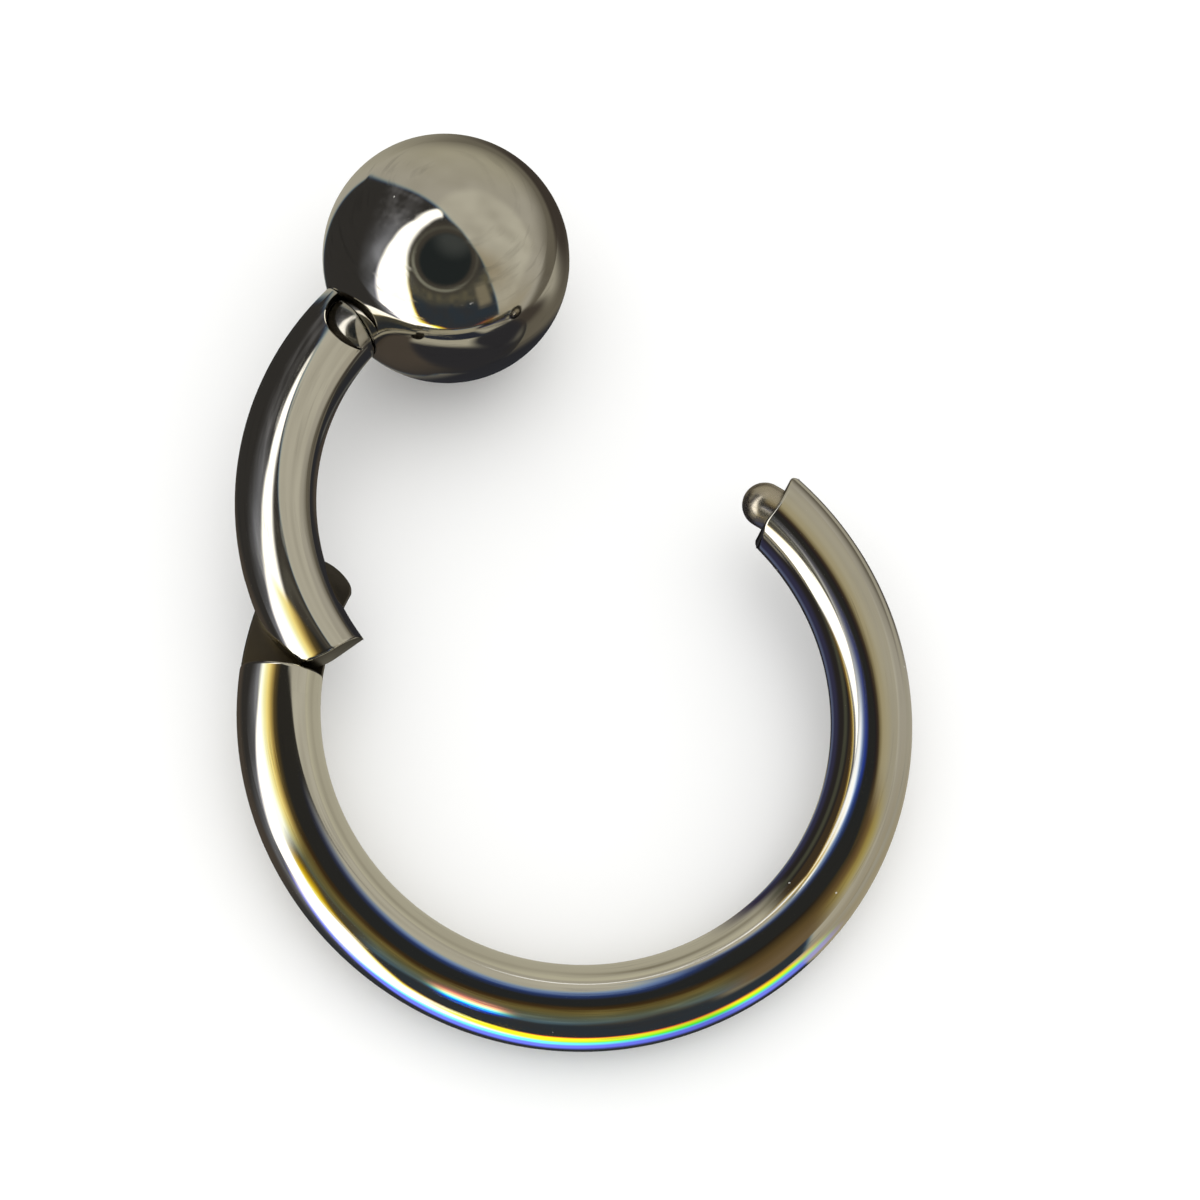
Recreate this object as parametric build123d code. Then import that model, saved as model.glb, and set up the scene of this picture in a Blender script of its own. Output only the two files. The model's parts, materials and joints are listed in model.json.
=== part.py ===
"""Hinged segment ring with a fixed ball, lying on its side with the segment swung open.

Millimetres and degrees. The pieces are built in the ring's own frame, with the ring's
circle in the XY plane round the origin and the segment closed. The segment's pieces then
swing open about the hinge pin, and the whole ring is laid down as it rests on a floor.
"""
from build123d import *
import os
from math import acos, asin, atan2, cos, degrees, radians, sin

# Stock sizes
wire_diameter = 1.6
inner_diameter = 10.0
ball_diameter = 5.1

# Places round the ring, anticlockwise from +X
hinge_angle = 161.6
ball_angle = 72.4

# Swing of the segment as it lies, from closed
opening_shown = 43.5

# Half-lap hinge: reaches are measured square from the pin's axis
hinge_pin_diameter = 0.6
lug_reach = 1.13
lug_corner_radius = 0.3
leaf_reach = 1.25
leaf_bevel_reach = 0.79
leaf_bevel_angle = 19.8
lap_gap = 0.03
swing_gap = 0.04
shoulder_gap = 0.05
pin_running_gap = 0.015
pin_seat_gap = 0.01

# Catch: a dome-headed pin in the ring's hollowed end, and the ball's socket for it
catch_head_diameter = 0.92
catch_head_stand = 0.7
catch_head_seat = 0.1
catch_shank_diameter = 0.56
catch_shank_length = 0.9
catch_seat_gap = 0.01
catch_end_gap = 0.03
socket_gap = 0.04
socket_release_turn = 8.0

# Joint of segment and ball: a hidden peg, and a crowned boss that shows beside the ball
peg_diameter = 0.8
peg_length = 1.2
peg_gap = 0.01
ball_seat_gap = 0.01
boss_radius = 0.6
boss_inset = 0.2
boss_depth = 0.09
boss_crown_radius = 0.76
boss_groove_width = 0.025
boss_groove_floor = 0.4

# Worked out from the sizes above
wire_radius = wire_diameter / 2
ball_radius = ball_diameter / 2
ring_radius = (inner_diameter + wire_diameter) / 2
catch_head_radius = catch_head_diameter / 2
shoulder_turn = degrees(asin((leaf_reach + shoulder_gap) / ring_radius))
well_past = 2 * wire_diameter


def on_circle(angle, radius=ring_radius):
    """Point of the ring's plane at an angle and a radius."""
    return Vector(radius * cos(radians(angle)), radius * sin(radians(angle)), 0)


def chord_turn(chord):
    """Angle round the ring that a chord of its centre line spans."""
    return degrees(2 * asin(chord / (2 * ring_radius)))


hinge_point = on_circle(hinge_angle)
ball_point = on_circle(ball_angle)
catch_end = on_circle(ball_angle - chord_turn(ball_radius + catch_end_gap))
catch_outward = (ball_point - catch_end).normalized()
segment_end = on_circle(ball_angle + chord_turn(ball_radius + ball_seat_gap))
peg_outward = (ball_point - segment_end).normalized()
pin_plane = Plane(origin=hinge_point, x_dir=hinge_point, z_dir=(0, 0, 1))
whole_wire = Torus(ring_radius, wire_radius)


def sector(start, end):
    """Outline of the ring's plane between two angles, reaching past the wire."""
    rim = CenterArc((0, 0), ring_radius + wire_diameter, start, end - start)
    return make_face([Line((0, 0), rim @ 0), rim, Line(rim @ 1, (0, 0))])


def slab(outline, low, high):
    """An outline of the ring's plane, made solid between two heights."""
    return Pos(0, 0, low) * extrude(outline, high - low)


def upright(radius, low=-well_past, high=well_past, centre=hinge_point):
    """Round bar square to the ring's plane."""
    bar = Cylinder(radius, high - low, align=(Align.CENTER, Align.CENTER, Align.MIN))
    return Pos(centre.X, centre.Y, low) * bar


def bar_along(start, direction, radius, length):
    """Round bar from a point, along a direction."""
    plane = Plane(origin=start, z_dir=direction)
    return plane * Cylinder(radius, length, align=(Align.CENTER, Align.CENTER, Align.MIN))


def lug():
    """Lower half of the hinge: the ring's tongue, with a nose round the pin."""
    band = Circle(ring_radius + wire_radius) - Circle(ring_radius - wire_radius)
    nose = pin_plane * Circle(lug_reach)
    outline = band & (sector(hinge_angle, hinge_angle + shoulder_turn) + nose)
    inner = ring_radius - wire_radius
    turn = acos((ring_radius**2 + inner**2 - lug_reach**2) / (2 * ring_radius * inner))
    corner = outline.vertices().sort_by_distance(on_circle(hinge_angle - degrees(turn), inner))[0]
    return whole_wire & slab(fillet(corner, lug_corner_radius), -wire_radius, -lap_gap / 2)


def leaf_outline():
    """Outline of the segment's upper half round the pin: X outward, Y to the ring's shoulder."""
    end_way = Vector(cos(radians(shoulder_turn)), sin(radians(shoulder_turn)))
    foot_angle = 90 + shoulder_turn
    tip_angle = leaf_bevel_angle + degrees(acos(leaf_bevel_reach / leaf_reach))
    tip_round = CenterArc((0, 0), leaf_reach, foot_angle, tip_angle - foot_angle)
    inner_end = tip_round @ 0 - end_way * well_past
    bevel_way = Vector(sin(radians(leaf_bevel_angle)), -cos(radians(leaf_bevel_angle)))
    bevel_end = tip_round @ 1 + bevel_way * 2 * leaf_reach
    inner_start = Vector(inner_end.X, bevel_end.Y)
    edges = [
        Line(inner_end, tip_round @ 0),
        tip_round,
        Line(tip_round @ 1, bevel_end),
        Line(bevel_end, inner_start),
        Line(inner_start, inner_end),
    ]
    return pin_plane * make_face(edges)


def catch_bores():
    """Seat and hole for the catch pin in the ring's end."""
    seat = catch_end - catch_outward * catch_head_seat
    head = bar_along(seat, catch_outward, catch_head_radius + catch_seat_gap, well_past)
    depth = catch_shank_length + catch_seat_gap
    shank = bar_along(seat, -catch_outward, catch_shank_diameter / 2 + catch_seat_gap, depth)
    return head + shank


def ring_arc():
    """The long arc, from the hollowed catch end round to the hinge's lug."""
    arc = whole_wire & slab(sector(hinge_angle + shoulder_turn, 360 + ball_angle), -wire_radius, wire_radius)
    arc += lug()
    arc -= upright(ball_radius + catch_end_gap, centre=ball_point)
    arc -= upright(hinge_pin_diameter / 2 + pin_running_gap)
    return arc - catch_bores()


def catch_pin():
    """The dome-headed pin that the ball snaps over."""
    seat = catch_end - catch_outward * (catch_head_seat - catch_seat_gap)
    straight = catch_head_stand + catch_head_seat - catch_seat_gap - catch_head_radius
    head = bar_along(seat, catch_outward, catch_head_radius, straight)
    dome = Pos(seat + catch_outward * straight) * Sphere(catch_head_radius)
    dome &= bar_along(seat, catch_outward, catch_head_radius, straight + catch_head_radius)
    shank = bar_along(seat, -catch_outward, catch_shank_diameter / 2, catch_shank_length)
    return head + dome + shank


def hinge_pin():
    """Pin through both halves of the hinge, its ends flush with the wire."""
    return upright(hinge_pin_diameter / 2) & whole_wire


def boss_cut():
    """What is taken off the segment's upper side to leave a crowned boss in a groove."""
    inward = (-segment_end).normalized()
    across = (inward - peg_outward * inward.dot(peg_outward)).normalized()
    centre = ball_point - peg_outward * (ball_radius - boss_depth) + across * boss_inset
    crown = upright(boss_radius, centre=centre) & (Pos(centre) * Sphere(boss_crown_radius))
    well = upright(boss_radius + boss_groove_width, low=boss_groove_floor, centre=centre)
    return well - crown


def hinged_segment():
    """The short arc that swings, from the hinge's leaf to the peg in the ball."""
    arc = whole_wire & slab(sector(ball_angle, hinge_angle + shoulder_turn), -wire_radius, wire_radius)
    beyond_pin = sector(hinge_angle, hinge_angle + 2 * shoulder_turn)
    arc -= slab(beyond_pin, -well_past, lap_gap / 2)
    arc -= upright(lug_reach + swing_gap, high=lap_gap / 2)
    arc -= slab(beyond_pin - leaf_outline(), -well_past, well_past)
    arc -= upright(hinge_pin_diameter / 2 + pin_seat_gap)
    arc -= Pos(ball_point) * Sphere(ball_radius + ball_seat_gap)
    arc -= boss_cut()
    arc -= mirror(boss_cut(), about=Plane.XY)
    peg_root = segment_end - peg_outward * wire_radius
    return arc + bar_along(peg_root, peg_outward, peg_diameter / 2, wire_radius + peg_length)


def catch_socket():
    """Room in the ball for the catch pin's head, and for its way out as the segment opens."""
    dome_centre = catch_end + catch_outward * (catch_head_stand - catch_head_radius)
    radius = catch_head_radius + socket_gap
    from_pin = dome_centre - hinge_point
    swept = Plane(origin=dome_centre, x_dir=from_pin, z_dir=from_pin.cross(Vector(0, 0, 1))) * Circle(radius)
    way_out = revolve(swept, Axis(hinge_point, (0, 0, -1)), revolution_arc=socket_release_turn)
    mouth = bar_along(dome_centre, -catch_outward, radius, well_past)
    return Pos(dome_centre) * Sphere(radius) + mouth + way_out


def ball():
    """The ball, bored for the segment's peg and hollowed for the catch pin."""
    bore_length = peg_length + peg_gap
    bore = bar_along(segment_end, peg_outward, peg_diameter / 2 + peg_gap, bore_length)
    return Pos(ball_point) * Sphere(ball_radius) - bore - catch_socket()


def uphill_direction(mass_centre, ball_centre):
    """Direction in the ring's plane that rises most when the ring rests on its wire and ball.

    The ring touches the floor under the ball and at the lowest point of its wire. Of all the
    ways to lie like that, it settles in the one that brings its centre of mass lowest.
    """

    def height(angle):
        way = on_circle(angle, 1)
        return (ring_radius + mass_centre.dot(way)) / (ring_radius + ball_centre.dot(way))

    to_ball = degrees(atan2(ball_centre.Y, ball_centre.X))
    steps_per_degree = 100
    reach = 60 * steps_per_degree
    return min((to_ball + step / steps_per_degree for step in range(-reach, reach)), key=height)


def resting_place(pieces, ball_centre):
    """Location that lays the pieces on the floor, with the origin under their middle."""
    weighted = [piece.center(CenterOf.MASS) * piece.volume for piece in pieces]
    mass_centre = sum(weighted, Vector()) / sum(piece.volume for piece in pieces)
    uphill = on_circle(uphill_direction(mass_centre, ball_centre), 1)
    rise = (ball_radius - wire_radius) / (ring_radius + ball_centre.dot(uphill))
    up = uphill * rise + Vector(0, 0, cos(asin(rise)))
    laid = Plane(origin=(0, 0, 0), x_dir=(1, 0, 0), z_dir=up).location.inverse()
    boxes = [(laid * piece).bounding_box() for piece in pieces]
    middle_x = (min(box.min.X for box in boxes) + max(box.max.X for box in boxes)) / 2
    middle_y = (min(box.min.Y for box in boxes) + max(box.max.Y for box in boxes)) / 2
    floor = min(box.min.Z for box in boxes)
    return Pos(-middle_x, -middle_y, -floor) * laid


def swung_open(piece):
    """A piece of the segment, turned from closed to the opening shown."""
    return Pos(hinge_point) * Rot(0, 0, opening_shown) * Pos(-hinge_point) * piece


def main():
    nodes = {
        "ring_arc": ring_arc(),
        "catch_pin": catch_pin(),
        "hinge_pin": swung_open(hinge_pin()),
        "hinged_segment": swung_open(hinged_segment()),
        "ball": swung_open(ball()),
    }
    ball_centre = (Pos(hinge_point) * Rot(0, 0, opening_shown) * Pos(-hinge_point) * Pos(ball_point)).position
    place = resting_place(list(nodes.values()), ball_centre)
    os.makedirs("parts", exist_ok=True)
    for name, solid in nodes.items():
        export_step(place * solid, f"parts/{name}.step")
    pin = place * Pos(hinge_point)
    print("hinge at", pin.position, "axis", (place * Plane.XY).z_dir)
    print("ring centre", (place * Pos(0, 0, 0)).position, "ball centre", (place * Pos(ball_centre)).position)


main()
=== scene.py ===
"""Hinged segment ring with a ball, in mirror-polished steel, lying on a pale floor in a light tent.

The meshes are worked out in the ring's own frame, in millimetres, with the ring's circle in
the XY plane round the origin and the segment closed. They are then carried to the frame of
the solids, in metres. Angles are radians, unless a name or comment says degrees.
"""
import json
from math import acos, asin, atan2, cos, hypot, pi, radians, sin, sqrt

import bmesh
import bpy
import numpy as np
from mathutils import Matrix, Vector


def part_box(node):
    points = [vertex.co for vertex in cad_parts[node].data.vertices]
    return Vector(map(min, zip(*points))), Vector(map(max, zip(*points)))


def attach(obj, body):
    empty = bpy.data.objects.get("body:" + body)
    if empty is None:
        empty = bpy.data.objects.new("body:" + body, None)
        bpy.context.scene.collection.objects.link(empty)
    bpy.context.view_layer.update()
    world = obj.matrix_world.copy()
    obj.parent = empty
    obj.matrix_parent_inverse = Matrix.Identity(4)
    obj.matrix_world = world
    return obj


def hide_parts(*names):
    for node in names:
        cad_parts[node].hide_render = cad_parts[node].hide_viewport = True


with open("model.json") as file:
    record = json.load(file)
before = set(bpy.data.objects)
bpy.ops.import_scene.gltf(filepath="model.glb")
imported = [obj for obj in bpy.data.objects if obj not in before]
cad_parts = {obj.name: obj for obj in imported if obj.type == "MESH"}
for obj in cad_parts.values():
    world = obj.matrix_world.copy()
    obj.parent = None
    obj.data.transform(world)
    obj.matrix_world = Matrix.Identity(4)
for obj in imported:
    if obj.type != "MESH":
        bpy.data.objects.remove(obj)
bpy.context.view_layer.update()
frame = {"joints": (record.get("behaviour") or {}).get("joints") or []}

MILLIMETRE = 0.001

# Ring and segment, as the solids have them
wire_radius = 0.8
ring_radius = 5.8
hinge_angle = radians(161.6)
ball_angle = radians(72.4)
hinge_pin_radius = 0.3
lug_reach = 1.13
lug_corner_radius = 0.3
leaf_reach = 1.25
leaf_bevel_reach = 0.79
leaf_bevel_angle = radians(19.8)
half_lap_gap = 0.015
swing_gap = 0.04
shoulder_gap = 0.05
pin_running_gap = 0.015
pin_seat_gap = 0.01
shoulder_turn = asin((leaf_reach + shoulder_gap) / ring_radius)
shoulder_angle = hinge_angle + shoulder_turn

# Catch and ball
ball_radius = (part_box("ball")[1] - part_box("ball")[0]).z / 2 / MILLIMETRE
ball_seat_gap = 0.01
catch_end_gap = 0.03
catch_head_radius = 0.46
catch_head_stand = 0.7
catch_head_seat = 0.1
catch_shank_radius = 0.28
catch_shank_length = 0.9
catch_seat_gap = 0.01
socket_gap = 0.04
socket_release_turn = radians(8.0)
peg_radius = 0.4
peg_length = 1.2
peg_gap = 0.01
peg_bore_lead = 1.0
pin_end_gap = 0.01
shank_end_gap = 0.02
past_wire = 2.0

# Crowned boss beside the ball
boss_radius = 0.6
boss_inset = 0.2
boss_depth = 0.09
boss_crown_radius = 0.76
boss_groove_width = 0.025
boss_groove_floor = 0.4

# Fineness of the meshes
section_steps = 44
ring_steps = 330
segment_steps = 110
lap_steps = 30
turned_steps = 96
dome_steps = 24
point_radius = 0.001
edge_rounding = 0.05
boss_rim_rounding = 0.02
horn_start = 0.46
horn_rounding = 0.26
leaf_pin_top = 0.5
merge_distance = 1e-4

# What counts as a cut face, how ground the boss's crown is, and how far the whole lug is darkened and
# roughened like a cut face, as painted shade, from 0 to 1
cut_facing = 0.4
cut_depth = 0.7
ball_skin = 0.02
lug_turn = 0.35
lug_painted_shade = 0.8
crown_finish = 0.3

# Steel and light tent
steel_colour = (0.80, 0.775, 0.72)
tent_radius = 28.0
table_gap = 0.01
sheet_height = 6.0
sheet_over_wire = 3.8
sheet_span_factor = 1.1
sheet_span_slack = 0.9
near_table_span = 9.0
# Glowing band just inside the ring, seen only within its span: painted reflections on the wire's inner
# side
inner_reflection_radius = 4.7
inner_reflection_span = 1.8
inner_reflection_line_width = 0.09
wire_eye_height = 1.1
# Colour of ground cut faces, far darker than the steel's own: painted shade
shaded_ground_colour = (0.085, 0.075, 0.064, 1)
dust_colour = (0.62, 0.60, 0.56, 1)


def on_circle(angle, radius=ring_radius):
    """Point of the ring's plane at an angle and a radius."""
    return Vector((radius * cos(angle), radius * sin(angle), 0))


def chord_turn(chord):
    """Angle round the ring that a chord of its centre line spans."""
    return 2 * asin(chord / (2 * ring_radius))


hinge_point = on_circle(hinge_angle)
ball_point = on_circle(ball_angle)
catch_end = on_circle(ball_angle - chord_turn(ball_radius + catch_end_gap))
catch_outward = (ball_point - catch_end).normalized()
segment_end = on_circle(ball_angle + chord_turn(ball_radius + ball_seat_gap))
peg_outward = (ball_point - segment_end).normalized()
inward = (-segment_end).normalized()
across_peg = (inward - peg_outward * inward.dot(peg_outward)).normalized()
boss_middle = ball_point - peg_outward * (ball_radius - boss_depth) + across_peg * boss_inset


def placements():
    """Carry the ring's frame to the solids' frame, for the ring and for the segment swung open."""
    joint = frame["joints"][0]
    up = Vector(joint["axis"]).normalized()
    right = Vector((0, 1, 0)).cross(up).normalized()
    scaled = Matrix((right, up.cross(right), up)).transposed().to_4x4() @ Matrix.Scale(MILLIMETRE, 4)
    closed_place = Matrix.Translation(Vector(joint["pos_m"]) - scaled @ hinge_point) @ scaled
    opening = radians(-joint["range_deg"][0])
    swing = Matrix.Translation(hinge_point) @ Matrix.Rotation(opening, 4, "Z")
    return closed_place, closed_place @ swing @ Matrix.Translation(-hinge_point)


ring_place, segment_place = placements()
ring_middle = np.array(ring_place.translation[:2]) / MILLIMETRE
ring_outer_radius = ring_radius + wire_radius
flat_place = Matrix.Scale(MILLIMETRE, 4)
full_turn = np.linspace(0, 2 * pi, turned_steps, endpoint=False)


def add_object(name, data):
    """Puts an object with its data into the scene."""
    made = bpy.data.objects.new(name, data)
    bpy.context.scene.collection.objects.link(made)
    return made


def mesh_data(name, mesh):
    """Keeps a mesh that was worked on under a name."""
    data = bpy.data.meshes.new(name)
    mesh.to_mesh(data)
    mesh.free()
    return data


class Shell:
    """Grids and faces in millimetres that merge into one closed mesh."""

    def __init__(self):
        self.mesh = bmesh.new()

    def grid(self, points, loop=False):
        """Quads between rows of points, closed round each row if it is a loop."""
        rows = [[self.mesh.verts.new(point) for point in row] for row in points]
        columns = len(rows[0])
        for near, far in zip(rows, rows[1:]):
            for column in range(columns if loop else columns - 1):
                after = (column + 1) % columns
                self.mesh.faces.new((near[column], near[after], far[after], far[column]))

    def face(self, points):
        """One face with many corners."""
        self.mesh.faces.new([self.mesh.verts.new(point) for point in points])

    def finish(self, name):
        """The object, merged and with its faces turned outward."""
        bmesh.ops.remove_doubles(self.mesh, verts=self.mesh.verts, dist=merge_distance)
        bmesh.ops.recalc_face_normals(self.mesh, faces=self.mesh.faces)
        return add_object(name, mesh_data(name, self.mesh))


def closed(name, rows):
    """A closed piece through rings of points, with a flat face at both ends."""
    shell = Shell()
    shell.grid(rows, loop=True)
    shell.face(rows[0])
    shell.face(rows[-1])
    return shell.finish(name)


def wire_points(turns, sections):
    """Points of the wire's surface at angles round the ring and round the section."""
    return plan_points(turns, plan_radii(sections), wire_radius * np.sin(sections))


def plan_points(turns, radii, heights):
    """Points at angles round the ring, plan radii and heights."""
    turns, radii, heights = np.broadcast_arrays(turns, radii, heights)
    return np.stack([radii * np.cos(turns), radii * np.sin(turns), heights], -1)


def meeting_turn(radii, reach, heights=0.0):
    """Angle from a point of the centre line to where a plan radius meets a ball round it."""
    return np.arccos((ring_radius**2 + radii**2 + heights**2 - reach**2) / (2 * ring_radius * radii))


def half_section(special_radii):
    """Angles over the wire's upper half, with one at each plan radius where an outline turns."""
    lap = asin(half_lap_gap / wire_radius)
    even = np.linspace(lap, pi - lap, section_steps + 1)
    special = [acos((radius - ring_radius) / wire_radius) for radius in special_radii]
    spacing = even[1] - even[0]
    kept = [angle for angle in even if all(abs(angle - turn) > spacing / 2 for turn in special)]
    return np.array(sorted(kept + special))


def plan_radii(sections):
    """Distance from the ring's centre, seen in plan, at angles of the section."""
    return ring_radius + wire_radius * np.cos(sections)


def stretch(starts, ends, steps):
    """Angles round the ring from starts to ends, a row for each step."""
    share = np.linspace(0, 1, steps + 1)[:, None]
    return starts + share * (ends - starts)


def end_wall(shell, turn_at, sections, low, high, rows=1):
    """Wall across the wire's end, a column at each angle of the section, between two heights."""
    radii = plan_radii(sections)
    share = np.linspace(0, 1, rows + 1)[:, None]
    heights = low + share * (high - low)
    points = plan_points(turn_at(radii, heights), radii, heights)
    if rows == 1:
        shell.grid(points)
        return
    shell.grid(points[:, 1:-1])
    for side, beside in ((0, 1), (-1, -2)):
        shell.face([points[0, side], *points[:, beside], points[-1, side]])


def rounded_corner():
    """Centre of the lug's rounded inner corner, as plan radius and angle, and where its arc ends."""
    radius = ring_radius - wire_radius + lug_corner_radius
    turn = hinge_angle - meeting_turn(radius, lug_reach - lug_corner_radius)
    centre = on_circle(turn, radius)
    arc_end = hinge_point + (centre - hinge_point).normalized() * lug_reach
    return radius, turn, arc_end.length


def lug_nose(radii, heights=0.0):
    """Angle round the ring of the lug's nose at each plan radius."""
    radius, turn, arc_end = rounded_corner()
    corner = turn - np.arccos(
        np.clip((radius**2 + radii**2 - lug_corner_radius**2) / (2 * radius * radii), -1, 1)
    )
    return np.where(radii < arc_end, corner, hinge_angle - meeting_turn(radii, lug_reach))


def leaf_turns():
    """Plan radii at which the leaf's end goes from flat to round, and from round to bevel."""
    foot = pi / 2 + shoulder_turn
    tip = leaf_bevel_angle + acos(leaf_bevel_reach / leaf_reach)
    return [hypot(ring_radius + leaf_reach * cos(turn), leaf_reach * sin(turn)) for turn in (foot, tip)]


def leaf_end(radii, heights=0.0):
    """Angle round the ring of the leaf's end at each plan radius."""
    foot_radius, tip_radius = leaf_turns()
    flat = shoulder_angle - np.arcsin(shoulder_gap / radii)
    round_tip = hinge_angle + meeting_turn(radii, leaf_reach)
    across = (leaf_bevel_reach + ring_radius * cos(leaf_bevel_angle)) / radii
    bevel = hinge_angle + leaf_bevel_angle - np.arccos(np.clip(across, -1, 1))
    return np.where(radii < foot_radius, flat, np.where(radii < tip_radius, round_tip, bevel))


def segment_cut(radii, heights=0.0):
    """Angle at which the segment's lower half stops, clear of the lug's swing."""
    return hinge_angle - meeting_turn(radii, lug_reach + swing_gap)


def ball_seat(radii, heights=0.0):
    """Angle at which the segment's wire meets the ball."""
    return ball_angle + meeting_turn(radii, ball_radius + ball_seat_gap, heights)


def catch_cope(radii, heights=0.0):
    """Angle at which the ring's hollowed end stops, one turn on. Its two horns are rounded off."""
    horn = np.clip((np.abs(radii - ring_radius) - horn_start) / (wire_radius - horn_start), 0, 1)
    cope = 2 * pi + ball_angle - meeting_turn(radii, ball_radius + catch_end_gap)
    return cope - horn_rounding / ring_radius * horn**2


def round_edges(piece):
    """Rounds a piece's sharp edges, which catch the light as polished edges do."""
    bevel = piece.modifiers.new("edges", "BEVEL")
    bevel.width = edge_rounding
    bevel.segments = 3
    bevel.limit_method = "ANGLE"
    bevel.angle_limit = radians(35)
    bevel.use_clamp_overlap = False
    return piece


def cut_away(piece, cutter):
    """Takes a cutter's space out of a piece."""
    cut = piece.modifiers.new("cut", "BOOLEAN")
    cut.operation = "DIFFERENCE"
    cut.solver = "MANIFOLD"
    cut.object = cutter


def read_all(items, name, width=1, kind=float):
    """A property of each of a mesh's items, as rows of numbers."""
    values = np.empty(len(items) * width, kind)
    items.foreach_get(name, values)
    return values.reshape(-1, width)


def wire_layout(mesh):
    """UV map along and round the wire in millimetres, from the places of a mesh in the ring's frame."""
    layer = mesh.uv_layers.new(name="wire")
    places = read_all(mesh.vertices, "co", 3)
    corners = read_all(mesh.loops, "vertex_index", kind=int).ravel()
    sizes = read_all(mesh.polygons, "loop_total", kind=int).ravel()
    first = np.repeat(np.cumsum(sizes) - sizes, sizes)
    reach = np.hypot(places[:, 0], places[:, 1])
    ways = [np.arctan2(places[:, 1], places[:, 0]), np.arctan2(places[:, 2], reach - ring_radius)]
    turns = np.stack(ways, -1)[corners]
    turns -= 2 * pi * np.round((turns - turns[first]) / (2 * pi))
    layer.data.foreach_set("uv", (turns * (ring_radius, wire_radius)).ravel())


def face_places(mesh):
    """Middles and normals of a mesh's faces."""
    return read_all(mesh.polygons, "center", 3), read_all(mesh.polygons, "normal", 3)


def wire_cuts(middles, normals):
    """Angles of a wire's faces, and 1 for those that are cut into it and 0 for its round outside."""
    turns = np.arctan2(middles[:, 1], middles[:, 0]) % (2 * pi)
    off = middles - plan_points(turns, ring_radius, 0.0)
    depth = np.linalg.norm(off, axis=1)
    facing = (off * normals).sum(1) / np.maximum(depth, merge_distance)
    return turns, ((facing < cut_facing) | (depth < cut_depth)).astype(float)


def keep_cuts(piece, cut):
    """Writes how ground and how darkened each face is, for the steel."""
    piece.data.attributes.new("cut", "FLOAT", "FACE").data.foreach_set("value", cut)


def mark_ring_cuts(piece):
    """Marks the ring's cut faces as ground, and the whole lug nearly so, which paints shade onto it."""
    turns, cut = wire_cuts(*face_places(piece.data))
    lug = (turns < shoulder_angle) & (turns > hinge_angle - lug_turn)
    keep_cuts(piece, np.where(lug, np.maximum(cut, lug_painted_shade), cut))


def mark_segment_cuts(piece):
    """Marks the segment's cut faces as ground, and the boss's crown a little."""
    middles, normals = face_places(piece.data)
    cut = wire_cuts(middles, normals)[1]
    near = np.hypot(*(middles[:, :2] - boss_middle[:2]).T) < boss_radius
    keep_cuts(piece, np.where(near & (np.abs(normals[:, 2]) > 0.5), crown_finish, cut))


def mark_ball_cuts(piece):
    """Marks the inside of the ball's socket and bore as ground."""
    middles = face_places(piece.data)[0]
    depth = ball_radius - np.linalg.norm(middles - np.array(ball_point), axis=1)
    keep_cuts(piece, (depth > ball_skin).astype(float))


def apply_modifiers(piece):
    """Makes what a piece's modifiers show its own mesh."""
    depsgraph = bpy.context.evaluated_depsgraph_get()
    mesh = bpy.data.meshes.new_from_object(piece.evaluated_get(depsgraph))
    piece.modifiers.clear()
    piece.data = mesh


def finished(piece, placement, body, node, cutters=(), mark_cuts=None):
    """The piece cut, carried to the solids' frame, smoothed and put on its body."""
    for cutter in cutters:
        cut_away(piece, cutter)
    apply_modifiers(piece)
    for cutter in cutters:
        bpy.data.objects.remove(cutter)
    wire_layout(piece.data)
    if mark_cuts:
        mark_cuts(piece)
    piece.data.transform(placement)
    piece.data.polygons.foreach_set("use_smooth", [True] * len(piece.data.polygons))
    piece.data.set_sharp_from_angle(angle=radians(40))
    smooth = piece.modifiers.new("normals", "WEIGHTED_NORMAL")
    smooth.keep_sharp = True
    smooth.weight = 100
    apply_modifiers(piece)
    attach(piece, body)
    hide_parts(node)
    return piece


def ring_arc():
    """The long arc, from the hollowed catch end round to the hinge's lug."""
    shell = Shell()
    half = half_section([rounded_corner()[2]])
    loop = np.concatenate([half, -half[::-1]])
    radii = plan_radii(half)
    rise = wire_radius * np.sin(half)
    turns = stretch(shoulder_angle, catch_cope(plan_radii(loop)), ring_steps)
    shell.grid(wire_points(turns, loop), loop=True)
    lug_turns = stretch(lug_nose(radii), shoulder_angle, lap_steps)
    shell.grid(wire_points(lug_turns, -half))
    end_wall(shell, catch_cope, half, -rise, rise)
    end_wall(shell, lug_nose, half, -rise, -half_lap_gap)
    outline = np.concatenate([[-half[0]], half, [-half[-1]]])
    shell.face(wire_points(np.full(len(outline), shoulder_angle), outline))
    nose = plan_points(lug_nose(radii), radii, -half_lap_gap)
    outer = wire_points(lug_turns[:, 0], -half[0])
    inner = wire_points(lug_turns[:, -1], -half[-1])
    shell.face([*outer[::-1], *nose[1:-1], *inner])
    return round_edges(shell.finish("ring_arc"))


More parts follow.
